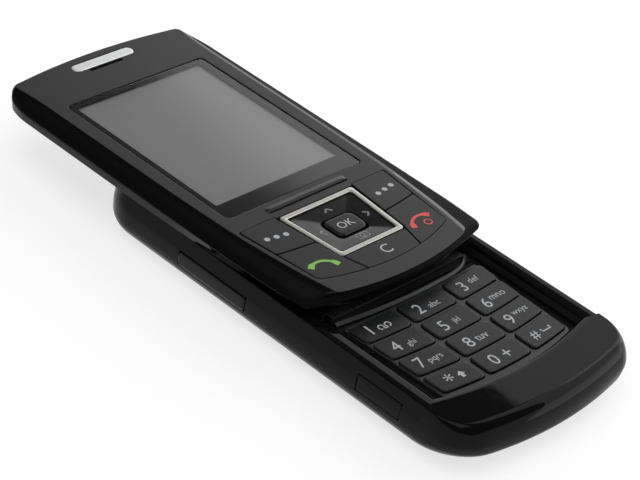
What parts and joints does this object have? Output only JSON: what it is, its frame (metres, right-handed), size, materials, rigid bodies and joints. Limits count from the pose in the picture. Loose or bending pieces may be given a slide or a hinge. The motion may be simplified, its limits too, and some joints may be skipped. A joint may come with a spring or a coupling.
{
  "type": "slider phone",
  "caption": "Pocket phone whose display half slides up over a keypad half to uncover the number keys.",
  "frame": {"origin": "middle of the open phone's box, on the surface that it lies on", "axes": "+X across the phone to its right, +Y from the chin to the top end, +Z from the back to the display"},
  "size_m": [0.05, 0.128, 0.0142],
  "materials": {
    "battery_label": "wrapped battery",
    "bezel_grey": "satin moulded plastic",
    "black_part": "moulded inner part",
    "black_shell": "glossy moulded plastic",
    "board": "circuit board",
    "diffuser": "light guide",
    "face_grey": "satin painted plastic",
    "frame_shell": "glossy moulded plastic",
    "gold": "plated contacts",
    "key_grey": "satin key plastic",
    "lens": "camera window",
    "pale_plastic": "low friction plastic",
    "ribbon": "film cable",
    "screen": "display module",
    "sheet": "switch sheet",
    "silver_trim": "satin plated trim",
    "steel": "rolled sheet",
    "window": "clear display window"
  },
  "bodies": {
    "keypad_half": {"rear_housing": "black_shell", "front_housing": "frame_shell", "keypad_bezel": "bezel_grey", "dome_sheet": "sheet", "slide_base_plate": "steel", "battery": "battery_label", "battery_contacts": "gold", "main_board": "board", "side_switches": "black_part", "sim_holder": "steel", "card_socket": "steel", "connector_socket": "steel", "microphone": "steel", "loudspeaker": "black_part", "antenna": "gold", "vibration_motor": "steel", "housing_screws": "steel", "slide_springs": "steel", "flex_cable": "ribbon"},
    "display_half": {"slide_plate": "steel", "slide_runners": "pale_plastic", "slider_rear_housing": "black_shell", "slider_front_cover": "face_grey", "display_window": "window", "lcd_module": "screen", "backlight": "diffuser", "upper_board": "board", "upper_dome_sheet": "sheet", "earpiece_grille": "silver_trim", "earpiece_speaker": "black_part", "camera_module": "black_part", "camera_window": "lens", "nav_frame": "silver_trim", "slider_screws": "steel"},
    "key_1": {"key_1": "key_grey"},
    "key_2": {"key_2": "key_grey"},
    "key_3": {"key_3": "key_grey"},
    "key_4": {"key_4": "key_grey"},
    "key_5": {"key_5": "key_grey"},
    "key_6": {"key_6": "key_grey"},
    "key_7": {"key_7": "key_grey"},
    "key_8": {"key_8": "key_grey"},
    "key_9": {"key_9": "key_grey"},
    "key_star": {"key_star": "key_grey"},
    "key_0": {"key_0": "key_grey"},
    "key_hash": {"key_hash": "key_grey"},
    "ok_key": {"ok_key": "key_grey"},
    "left_soft_key": {"left_soft_key": "key_grey"},
    "right_soft_key": {"right_soft_key": "key_grey"},
    "send_key": {"send_key": "key_grey"},
    "end_key": {"end_key": "key_grey"},
    "clear_key": {"clear_key": "key_grey"},
    "nav_key": {"nav_key": "face_grey"},
    "camera_key": {"camera_key": "black_shell"},
    "volume_key": {"volume_key": "black_shell"},
    "connector_cover": {"connector_cover": "black_shell"},
    "card_cover": {"card_cover": "black_shell"},
    "battery_cover": {"battery_cover": "black_shell"},
    "vibration_weight": {"vibration_weight": "steel"}
  },
  "joints": [
    {"name": "display_slide", "type": "slide", "parent": "keypad_half", "child": "display_half", "axis": [0, -1, 0], "range_m": [0, 0.0283], "deforming": ["slide_springs", "flex_cable"]},
    {"name": "key_1_press", "type": "slide", "parent": "keypad_half", "child": "key_1", "axis": [0, 0, -1], "range_m": [0, 0.00025], "stiffness_N_per_m": 300},
    {"name": "key_2_press", "type": "slide", "parent": "keypad_half", "child": "key_2", "axis": [0, 0, -1], "range_m": [0, 0.00025], "stiffness_N_per_m": 300},
    {"name": "key_3_press", "type": "slide", "parent": "keypad_half", "child": "key_3", "axis": [0, 0, -1], "range_m": [0, 0.00025], "stiffness_N_per_m": 300},
    {"name": "key_4_press", "type": "slide", "parent": "keypad_half", "child": "key_4", "axis": [0, 0, -1], "range_m": [0, 0.00025], "stiffness_N_per_m": 300},
    {"name": "key_5_press", "type": "slide", "parent": "keypad_half", "child": "key_5", "axis": [0, 0, -1], "range_m": [0, 0.00025], "stiffness_N_per_m": 300},
    {"name": "key_6_press", "type": "slide", "parent": "keypad_half", "child": "key_6", "axis": [0, 0, -1], "range_m": [0, 0.00025], "stiffness_N_per_m": 300},
    {"name": "key_7_press", "type": "slide", "parent": "keypad_half", "child": "key_7", "axis": [0, 0, -1], "range_m": [0, 0.00025], "stiffness_N_per_m": 300},
    {"name": "key_8_press", "type": "slide", "parent": "keypad_half", "child": "key_8", "axis": [0, 0, -1], "range_m": [0, 0.00025], "stiffness_N_per_m": 300},
    {"name": "key_9_press", "type": "slide", "parent": "keypad_half", "child": "key_9", "axis": [0, 0, -1], "range_m": [0, 0.00025], "stiffness_N_per_m": 300},
    {"name": "key_star_press", "type": "slide", "parent": "keypad_half", "child": "key_star", "axis": [0, 0, -1], "range_m": [0, 0.00025], "stiffness_N_per_m": 300},
    {"name": "key_0_press", "type": "slide", "parent": "keypad_half", "child": "key_0", "axis": [0, 0, -1], "range_m": [0, 0.00025], "stiffness_N_per_m": 300},
    {"name": "key_hash_press", "type": "slide", "parent": "keypad_half", "child": "key_hash", "axis": [0, 0, -1], "range_m": [0, 0.00025], "stiffness_N_per_m": 300},
    {"name": "ok_key_press", "type": "slide", "parent": "display_half", "child": "ok_key", "axis": [0, 0, -1], "range_m": [0, 0.0003], "stiffness_N_per_m": 300},
    {"name": "left_soft_key_press", "type": "slide", "parent": "display_half", "child": "left_soft_key", "axis": [0, 0, -1], "range_m": [0, 0.0003], "stiffness_N_per_m": 300},
    {"name": "right_soft_key_press", "type": "slide", "parent": "display_half", "child": "right_soft_key", "axis": [0, 0, -1], "range_m": [0, 0.0003], "stiffness_N_per_m": 300},
    {"name": "send_key_press", "type": "slide", "parent": "display_half", "child": "send_key", "axis": [0, 0, -1], "range_m": [0, 0.0003], "stiffness_N_per_m": 300},
    {"name": "end_key_press", "type": "slide", "parent": "display_half", "child": "end_key", "axis": [0, 0, -1], "range_m": [0, 0.0003], "stiffness_N_per_m": 300},
    {"name": "clear_key_press", "type": "slide", "parent": "display_half", "child": "clear_key", "axis": [0, 0, -1], "range_m": [0, 0.0003], "stiffness_N_per_m": 300},
    {"name": "nav_key_tilt", "type": "hinge", "parent": "display_half", "child": "nav_key", "pos_m": [0, -0.00805, 0.013], "axis": [1, 0, 0], "range_deg": [-2, 2], "stiffness_Nm_per_rad": 0.005},
    {"name": "camera_key_press", "type": "slide", "parent": "keypad_half", "child": "camera_key", "axis": [-1, 0, 0], "range_m": [0, 0.0002], "stiffness_N_per_m": 300},
    {"name": "volume_key_rock", "type": "hinge", "parent": "keypad_half", "child": "volume_key", "pos_m": [-0.02405, 0.0005, 0.0054], "axis": [0, 0, 1], "range_deg": [-1.2, 1.2], "stiffness_Nm_per_rad": 0.01},
    {"name": "connector_cover_hinge", "type": "hinge", "parent": "keypad_half", "child": "connector_cover", "pos_m": [-0.02475, -0.037, 0.0061], "axis": [0, 0, -1], "range_deg": [0, 100]},
    {"name": "card_cover_hinge", "type": "hinge", "parent": "keypad_half", "child": "card_cover", "pos_m": [0.02475, 0.0155, 0.005], "axis": [0, 0, 1], "range_deg": [0, 100]},
    {"name": "battery_cover_slide", "type": "slide", "parent": "keypad_half", "child": "battery_cover", "axis": [0, -1, 0], "range_m": [0, 0.006]},
    {"name": "vibration_weight_spin", "type": "hinge", "parent": "keypad_half", "child": "vibration_weight", "pos_m": [0.00977, 0.0246, 0.0038], "axis": [1, 0, 0], "continuous": true}
  ]
}
